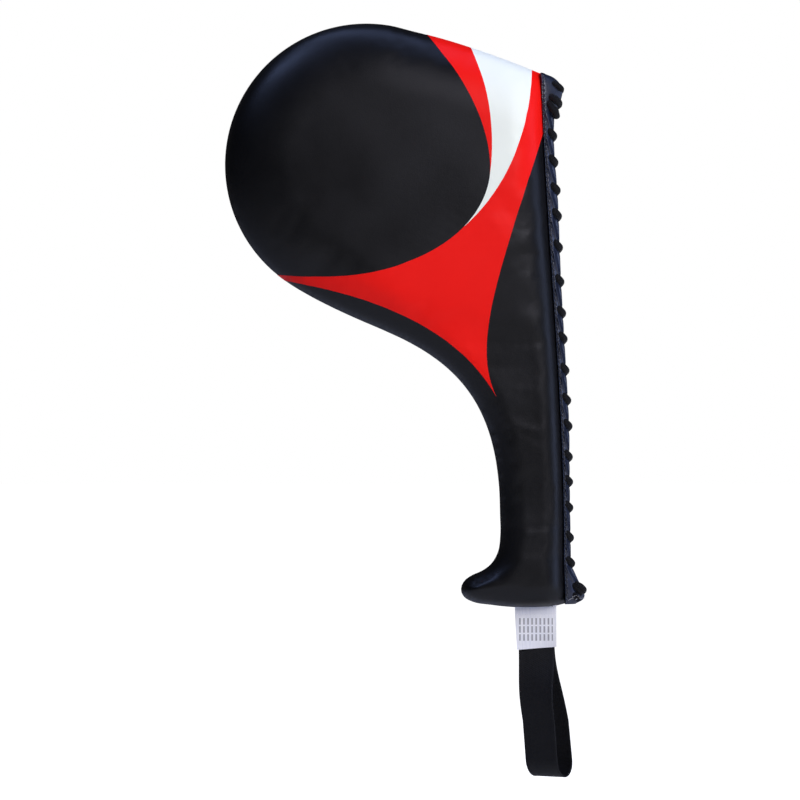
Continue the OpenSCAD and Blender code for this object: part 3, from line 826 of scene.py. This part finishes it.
raised = add_node(tree, "MapRange", {"Value": lozenge, 1: -1.0, 2: 1.0, 3: 0.0, 4: 1.0})
tint = add_node(tree, "Mix", {
    "Factor": raised, 6: linear("#020203"), 7: linear("#0b0b0d")}, data_type="RGBA")
weave_bump = add_node(tree, "Bump", {"Height": raised, "Strength": 0.6, "Distance": 0.35 * MM})
feed(shader, {"Base Color": tint.outputs[2], "Normal": weave_bump})

# %% Whip the lace over the edge
LACE_R = 2.55
lace_points = []
for x, z in zip(wrap_x, wrap_z):
    inner = min(float(edge_x(z + dz)) for dz in (-3, 0, 3)) - 3.6
    lace_points += [(inner - 0.5, -1.4, z + 4.6), (inner, -4.3, z + 3.9), (x - 1.9, -4.9, z + 2.4),
                    (x - 0.4, -3.6, z + 0.9), (x + 0.1, 0, z), (x - 0.4, 3.6, z - 0.9),
                    (x - 1.9, 4.9, z - 2.4), (inner, 4.3, z - 3.9), (inner - 0.5, 1.4, z - 4.6)]
lace_path = smooth_line(lace_points, 0.9)
points, faces, uv = sweep(lace_path, LACE_R, 16)
lace = make_piece("edge_lace_braid", points, faces, braid, uv=uv)
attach(lace, "pad")
stand_for("edge_lace")
print("lace in the edge:", round(len(lace_path) * 0.9), "mm long")


# %% [markdown]
# ## Knots and frayed ends
#
# The lace is doubled round the last hole under the top ear and its end is tucked in. At the bottom it is
# tied off beside the ear, cut short, and its pale core yarns fray out. Loose ends are the sort
# of detail that tells a handmade thing from a moulded one.

# %% Knots
def turn_at(z, grow, reach=4.4):
    """One chunky turn of lace over the edge at height z, as points."""
    x = float(edge_x(z))
    return [(x - reach - 0.6, -1.8, z + 4.6), (x - reach, -4.8 - grow, z + 3.8),
            (x - 2.2, -5.2 - grow, z + 2.0), (x - 0.7, -3.6, z + 0.6), (x - 0.2, 0.2, z - 0.4),
            (x - 0.8, 3.8, z - 1.4), (x - 3.2, 4.8, z - 2.6)]


ear_turn = smooth_line(turn_at(298.0, -0.8, 5.4) + [(12.4, 1.2, 293.6)], 0.8)
top_knot = smooth_line(turn_at(288.2, 1.2, 5.2) + [
    (9.6, 2.0, 284.6), (8.9, -4.6, 288.4), (11.4, -6.4, 285.0), (14.2, -5.4, 281.2),
    (15.0, -1.8, 279.0)], 0.8)
points, faces, uv = joined([sweep(ear_turn, 2.0, 16), sweep(top_knot, 2.5, 16)])
knot = make_piece("lace_top_knot_braid", points, faces, braid, uv=uv)
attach(knot, "pad")
stand_for("lace_top_knot")

low_knot = smooth_line([
    (24.5, -1.0, -46.5), (26.5, -4.6, -49.0), (30.2, -5.2, -52.2), (31.6, -2.0, -55.4),
    (28.2, 0.8, -56.6), (26.2, -3.4, -54.4), (28.6, -6.6, -56.6), (30.4, -6.0, -59.6)], 0.8)
points, faces, uv = sweep(low_knot, np.linspace(2.0, 1.5, len(low_knot)), 14)
knot = make_piece("lace_bottom_knot_braid", points, faces, braid, uv=uv)
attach(knot, "pad")
stand_for("lace_bottom_knot")

core_yarn, tree, shader = start_material("pale_core_yarn", Roughness=0.8, Sheen_Weight=0.4)
place = add_node(tree, "TexCoord")
fuzz = add_node(tree, "TexNoise", {
    "Vector": place.outputs["Object"], "Scale": 1 / (1.5 * MM), "Detail": 2.0})
tint = add_node(tree, "Mix", {
    "Factor": fuzz, 6: linear("#8f9096"), 7: linear("#cfd0d4")}, data_type="RGBA")
feed(shader, {"Base Color": tint.outputs[2]})
draw = np.random.default_rng(7)
fray = []
for number in range(6):
    reach = draw.uniform(2.2, 4.6)
    lean = np.array([draw.uniform(-0.9, 0.8), draw.uniform(-0.5, 0.05), draw.uniform(-0.35, 0.45)])
    begin = np.array([30.2 - number * 0.9, -7.4, -57.4 + draw.uniform(-0.8, 0.8)])
    bend = np.array([draw.uniform(-0.8, 0.8), draw.uniform(-0.5, 0.2), draw.uniform(-0.8, 0.8)])
    steps = np.linspace(0, 1, 8)[:, None]
    fray.append(sweep(begin + unit(lean) * reach * steps + bend * 2 * steps**2, 0.13, 5))
points, faces, uv = joined(fray)
ends = make_piece("frayed_core_yarns", points, faces, core_yarn, uv=uv)
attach(ends, "pad")

# %% [markdown]
# ## The wrist strap
#
# The loop is polypropylene webbing, 25 mm wide. Its face is a two-up, two-down weave in which the warp
# yarns stand out as fine ribs along its length, with a thicker woven edge at each side. It hangs from
# the pommel's seam as a long drop, twisted a little, so one looks into it from the side. It is a flat
# strip swept down, round and up, with its thickness and its rolled edges in the section. Each rib is
# 1.3 mm.

# %% Webbing material
webbing, tree, shader = start_material(
    "woven_polypropylene_webbing", Roughness=0.62, IOR=1.49, Specular_IOR_Level=0.3)
RIB, PICK = 1.3 * MM, 1.5 * MM               # spacing across and along the webbing
uv_node = add_node(tree, "UVMap", uv_map="UVMap")
split = add_node(tree, "SeparateXYZ", {"Vector": uv_node})
rib_turn = add_node(tree, "Math", {0: split.outputs[1], 1: 2 * math.pi / RIB}, operation="MULTIPLY")
pick_turn = add_node(tree, "Math", {0: split, 1: 2 * math.pi / PICK}, operation="MULTIPLY")
half_rib = add_node(tree, "Math", {0: rib_turn, 1: 0.5}, operation="MULTIPLY")
step_pick = add_node(tree, "Math", {0: pick_turn, 1: half_rib}, operation="ADD")
ribs = add_node(tree, "Math", {0: rib_turn}, operation="COSINE")
picks = add_node(tree, "Math", {0: step_pick}, operation="SINE")
both = add_node(tree, "Math", {0: ribs, 1: picks, 2: 0.5}, operation="MULTIPLY_ADD")
woven = add_node(tree, "MapRange", {"Value": both, 1: -1.0, 2: 1.5, 3: 0.0, 4: 1.0})
tint = add_node(tree, "Mix", {
    "Factor": woven, 6: linear("#030304"), 7: linear("#0d0d10")}, data_type="RGBA")
web_bump = add_node(tree, "Bump", {"Height": woven, "Strength": 0.5, "Distance": 0.3 * MM})
feed(shader, {"Base Color": tint.outputs[2], "Normal": web_bump})

# %% Shape of the loop
STRAP_W, STRAP_T, LOOP_H, LOOP_D, TWIST, LEAN = 25.0, 1.4, 116.0, 21.0, math.radians(30), 9.8
low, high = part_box("strap_anchor")
STRAP_X = (low.x + high.x) / 2 / MM
hinge = {j["name"]: j["pos_m"] for j in frame["record"]["behaviour"]["joints"]}
HANG_Z = hinge["strap_swing"][2] / MM
BULGE = LOOP_D / 2 + STRAP_T / 2
STRAIGHT = LOOP_H - BULGE - STRAP_T / 2
ROOT_Y, TUCK = STRAP_T / 2 + 0.02, 9.0


def opened(t):
    """Share of its full width and twist that the loop has a share t of the way down."""
    return eased(t + 0.22 * np.sin(np.pi * np.clip((t - 0.15) / 0.85, 0, 1)) ** 2)


def half_depth(t):
    return ROOT_Y + (BULGE - ROOT_Y) * opened(t)


down = np.linspace(0, 1, 60)
front_ply = np.column_stack([-half_depth(down), -down * STRAIGHT])
swing = np.radians(180 + 180 * np.linspace(0, 1, 30)[1:-1])
bottom = np.column_stack([BULGE * np.cos(swing), -STRAIGHT + BULGE * np.sin(swing)])
tucked = np.column_stack([np.full(8, -ROOT_Y), np.linspace(TUCK, 0.5, 8)])
loop_line = np.vstack([tucked, front_ply, bottom, front_ply[::-1] * [-1, 1], tucked[::-1] * [-1, 1]])
loop_dir = unit(np.gradient(loop_line, axis=0))
side_out = np.column_stack([loop_dir[:, 1], -loop_dir[:, 0]])
# the webbing's section: across, and out from its middle, with a rolled edge
edge = [(10.6, 0.56), (11.2, 0.7), (11.9, 0.66), (12.35, 0.45), (12.5, 0.0)]
face = [(-7, 0.6), (-3.5, 0.61), (0, 0.62), (3.5, 0.61), (7, 0.6)]
section = [(-a, b) for a, b in edge[::-1]] + face + edge
section = np.array(section + [(a, -b) for a, b in section[-2:0:-1]])


def hung(across, y, drop):
    """Points of the hanging loop: across the webbing, through the loop, and down from the pad."""
    t = np.clip(-drop / LOOP_H, 0, 1)
    turn = -TWIST * opened(t)
    drift = LEAN * t - 2.3 * np.sin(np.pi * np.minimum(t / 0.66, 1))
    return np.column_stack([STRAP_X + drift + across * np.cos(turn) - y * np.sin(turn),
                            across * np.sin(turn) + y * np.cos(turn), HANG_Z + drop])


m = len(section)
points = np.concatenate([hung(section[:, 0], p[0] + out[0] * section[:, 1], p[1] + out[1] * section[:, 1])
                         for p, out in zip(loop_line, side_out)])
faces = [face[:1] + face[:0:-1] for face in tube_faces(len(loop_line), m)]
run = np.concatenate([[0], np.cumsum(np.linalg.norm(np.diff(loop_line, axis=0), axis=1))])
uv = np.column_stack([np.repeat(run, m) * MM, np.tile(section[:, 0], len(run)) * MM])
strap = make_piece("wrist_strap_webbing", points, faces, webbing, uv=uv)
BEND_LOW = (STRAP_X * MM, 0, (HANG_Z - 2.5) * MM)
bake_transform(strap)
stand_for("wrist_strap")
print("webbing cut to", round(float(run[-1])), "mm")

# %% [markdown]
# ## The care label
#
# A care label is woven satin ribbon: long floating yarns make one face shiny and slightly streaky along
# its length. It is sewn into the bottom seam and hangs over the strap. It carries rows of plain grey
# bars. The ribbon is cut hot, so its edges are straight, and it curls a little. It is made in two pieces
# that meet where the webbing stops bending.

# %% Satin ribbon
satin, tree, shader = start_material(
    "white_satin_ribbon", Roughness=0.38, Sheen_Weight=0.2, Anisotropic=0.4)
uv_node = add_node(tree, "UVMap", uv_map="UVMap")
split = add_node(tree, "SeparateXYZ", {"Vector": uv_node})


def between(value, low, high):
    """1 where a node's value is between two numbers."""
    over = add_node(tree, "Math", {0: value, 1: low}, operation="GREATER_THAN")
    under = add_node(tree, "Math", {0: value, 1: high}, operation="LESS_THAN")
    return add_node(tree, "Math", {0: over, 1: under}, operation="MULTIPLY")


BAR_PITCH, BAR_WIDE, DASH, DASH_LONG = 2.85 * MM, 1.2 * MM, 5.6 * MM, 4.5 * MM
row_at = add_node(tree, "Math", {0: split, 1: BAR_PITCH, 2: 0.0}, operation="WRAP")
dash_at = add_node(tree, "Math", {0: split.outputs[1], 1: DASH, 2: 0.0}, operation="WRAP")
block = None
for part in (between(row_at, 0.0, BAR_WIDE), between(dash_at, 0.0, DASH_LONG),
             between(split, 2.0 * MM, 26.5 * MM), between(split.outputs[1], 5.6 * MM, 21.9 * MM)):
    block = part if block is None else add_node(
        tree, "Math", {0: block, 1: part}, operation="MULTIPLY")
streak_at = add_node(tree, "Mapping", {
    "Vector": uv_node, "Scale": (1 / (0.5 * MM), 1 / (12 * MM), 1.0)})
streaks = add_node(tree, "TexNoise", {"Vector": streak_at, "Scale": 1.0, "Detail": 3.0})
# The white and bluish-grey streaks along the ribbon's length are painted satin sheen and shade; the same
# streaks used as a bump are the floats' real relief.
sheen_streak_tint = add_node(tree, "Mix", {
    "Factor": streaks, 6: linear("#ccd0e2"), 7: linear("#fbfcff")}, data_type="RGBA")
ink = add_node(tree, "Math", {0: block, 1: 0.62}, operation="MULTIPLY")
printed = add_node(tree, "Mix", {
    "Factor": ink, 6: sheen_streak_tint.outputs[2], 7: linear("#4a4c5c")}, data_type="RGBA")
float_bump = add_node(tree, "Bump", {"Height": streaks, "Strength": 0.25, "Distance": 0.15 * MM})
feed(shader, {"Base Color": printed.outputs[2], "Normal": float_bump})


RIBBON_ROWS, RIBBON_T = 30, 0.3


def ribbon(name, low, high, node, curl=0.0, slant=0.0):
    """A thin closed ribbon that leans between two corners; its UV is in metres from the low left corner."""
    n = RIBBON_ROWS
    grid = np.meshgrid(np.linspace(low[0], high[0], n), np.linspace(low[2], high[2], n))
    X, Z = (part.ravel() for part in grid)
    across, down = (X - low[0]) / (high[0] - low[0]), (high[2] - Z) / (high[2] - low[2])
    wave = 3.6 * down**2 * (across - 0.5) ** 2 + 0.35 * np.sin(4.5 * across + 2.2 * down) * down
    y = high[1] - RIBBON_T / 2 - (high[1] - low[1] - RIBBON_T) * down - curl * wave
    Z = Z + slant * down * (across - 0.35)
    X = X + slant * 0.6 * down * (1 - across)
    front, back = (np.column_stack([X, y + out, Z]) for out in (-RIBBON_T / 2, RIBBON_T / 2))
    at = np.arange(n * n).reshape(n, n)
    quads = np.stack([at[:-1, :-1], at[:-1, 1:], at[1:, 1:], at[1:, :-1]], axis=-1).reshape(-1, 4)
    rim = [*at[0], *at[1:, -1], *at[-1, -2::-1], *at[-2:0:-1, 0]]
    walls = [(b, a, a + n * n, b + n * n) for a, b in zip(rim, rim[1:] + rim[:1])]
    uv = np.column_stack([(X - low[0]), (Z - low[2])]) * MM
    piece = make_piece(name, np.vstack([front, back]), [*quads, *(quads[:, ::-1] + n * n), *walls], satin,
                       uv=np.vstack([uv, uv]))
    stand_for(node)
    return piece


low, high = (np.array(c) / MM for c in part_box("care_label"))
tab_low, tab_high = (np.array(c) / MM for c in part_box("label_tab"))
high[2] = BEND_LOW[2] / MM                   # the label begins where the webbing under it stops bending
label = ribbon("care_label_satin", low, high, "care_label", 1.2, 2.2)
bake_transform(label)
tab_low[1:] = high[1] - RIBBON_T, high[2] + 0.02
tab_high[1] = high[1]
tab = ribbon("label_tab_satin", tab_low, tab_high, "label_tab")
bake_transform(tab)

# %% [markdown]
# ## Parts inside the covers
#
# The middle foam, the ply board in the handle, the seam's thread and the sewn end of the strap keep
# their CAD shapes, because those are right and are never seen. They still get their real
# materials, so that a cut through the model shows foam, birch ply and webbing.

# %% Inner materials
birch, tree, shader = start_material("birch_plywood", Roughness=0.55)
place = add_node(tree, "TexCoord")
grain_at = add_node(tree, "Mapping", {
    "Vector": place.outputs["Object"], "Scale": (1 / (6 * MM), 1 / (1.5 * MM), 1 / (90 * MM))})
fibres = add_node(tree, "TexNoise", {"Vector": grain_at, "Scale": 1.0, "Detail": 5.0})
tint = add_node(tree, "Mix", {
    "Factor": fibres, 6: linear("#c9a06a"), 7: linear("#e6cb9c")}, data_type="RGBA")
feed(shader, {"Base Color": tint.outputs[2]})

dense_foam = foam_material("dense_cross_linked_foam", 0.7 * MM, "#6d727a", "#4b4f57", 0.85)

plain_web, tree, shader = start_material("sewn_in_webbing", Roughness=0.65)
place = add_node(tree, "TexCoord")
wale = add_node(tree, "TexWave", {
    "Vector": place.outputs["Object"], "Scale": 1 / (RIB * 6.28), "Distortion": 0.5}, bands_direction="X")
tint = add_node(tree, "Mix", {
    "Factor": wale.outputs["Fac"], 6: linear("#0c0c0d"), 7: linear("#222225")}, data_type="RGBA")
feed(shader, {"Base Color": tint.outputs[2]})

for node, material in {"core_foam": dense_foam, "handle_board": birch, "strap_anchor": plain_web,
                       "rim_seam_thread": thread}.items():
    mesh = frame["nodes"][node].data
    mesh.materials.clear()
    mesh.materials.append(material)

# %% [markdown]
# ## Light and camera
#
# A black object is lit by what it reflects, so glare and fill are set apart. The key's glare is taken out,
# as a polarising filter does, so it lights the colours and leaves the black deep. A small soft box gives
# only glare, and lays one broad sheen on the upper right of the head. A cool one from above draws the top
# edges, one from the upper left picks out the pommel's saddle, and one at the side draws the laced edge.
# The floor and the surroundings are pale, and bright only to the camera, so they don't grey the black. The
# lens is long, because the paddle is shown without perspective.

# %% Floor, lights and camera
floor_paint, tree, shader = start_material("pale_studio_floor", Roughness=0.9)
place = add_node(tree, "TexCoord")
soft = add_node(tree, "TexNoise", {"Vector": place.outputs["Object"], "Scale": 0.6, "Detail": 1.0})
tint = add_node(tree, "Mix", {
    "Factor": soft, 6: linear("#f6f6f7"), 7: linear("#fbfbfb")}, data_type="RGBA")
direct = add_node(tree, "LightPath")
glow = add_node(tree, "Math", {0: direct.outputs["Is Camera Ray"], 1: 1.1}, operation="MULTIPLY")
feed(shader, {"Base Color": tint.outputs[2], "Emission Color": tint.outputs[2], "Emission Strength": glow})
FLOOR_Z, FLOOR_R, SPOKES = cad_box[0].z - 0.06, 14, 96
angles = np.linspace(0, 2 * math.pi, SPOKES, endpoint=False)
mesh = bpy.data.meshes.new("studio_floor")
mesh.from_pydata([(FLOOR_R * math.cos(a), FLOOR_R * math.sin(a), FLOOR_Z) for a in angles], [],
                 [tuple(range(SPOKES))])
mesh.materials.append(floor_paint)
floor = bpy.data.objects.new("studio_floor", mesh)
bpy.context.scene.collection.objects.link(floor)

world = bpy.data.worlds.new("studio_air")
bpy.context.scene.world = world
world.use_nodes = True
air = world.node_tree
seen = add_node(air, "LightPath")
level = add_node(air, "MapRange", {"Value": seen.outputs["Is Camera Ray"], 1: 0.0, 2: 1.0, 3: 0.03, 4: 1.0})
feed(air.nodes["Background"], {"Color": (1, 1, 1, 1), "Strength": level})


def soft_box(name, place, aim, size, watts, colour, glare=True, fill=True):
    light = bpy.data.lights.new(name, "AREA")
    light.shape, light.size, light.size_y = "RECTANGLE", *size
    light.energy, light.color = watts, linear(colour)[:3]
    lamp = bpy.data.objects.new(name, light)
    lamp.location = place
    lamp.rotation_euler = (Vector(aim) - Vector(place)).to_track_quat("-Z", "Y").to_euler()
    lamp.visible_glossy, lamp.visible_diffuse = glare, fill
    bpy.context.scene.collection.objects.link(lamp)


head = (-0.1, 0, 0.24)
soft_box("key_soft_box", (0.82, -1.40, 1.05), head, (1.1, 1.1), 29, "#fff9f2", glare=False)
soft_box("sheen_soft_box", (0.30, -0.95, 0.52), (-0.02, 0, 0.27), (0.3, 0.3), 4.4, "#f2f0ff", fill=False)
soft_box("sky_soft_box", (-0.15, -0.1, 1.5), head, (1.3, 0.5), 7, "#a9c0ff")
soft_box("left_soft_box", (-0.75, -0.35, 1.1), (-0.04, 0, -0.04), (0.3, 0.3), 3.0, "#a9c0ff")
soft_box("edge_soft_box", (1.3, -0.35, 0.35), (0.02, 0, 0.1), (0.5, 1.2), 6, "#b9ccff")

VIEW_M, LENS, SENSOR = 0.56, 200.0, 36.0
camera = bpy.data.cameras.new("camera")
camera.lens, camera.sensor_width = LENS, SENSOR
eye = bpy.data.objects.new("camera", camera)
eye.location = (-0.0945, -VIEW_M * LENS / SENSOR, 0.0805)
eye.rotation_euler = (math.pi / 2, 0, 0)
bpy.context.scene.collection.objects.link(eye)
bpy.context.scene.camera = eye
bpy.context.scene.view_settings.view_transform = "Standard"

# %% Print the CAD box
print("CAD box   ", [[round(v, 4) for v in c] for c in cad_box])
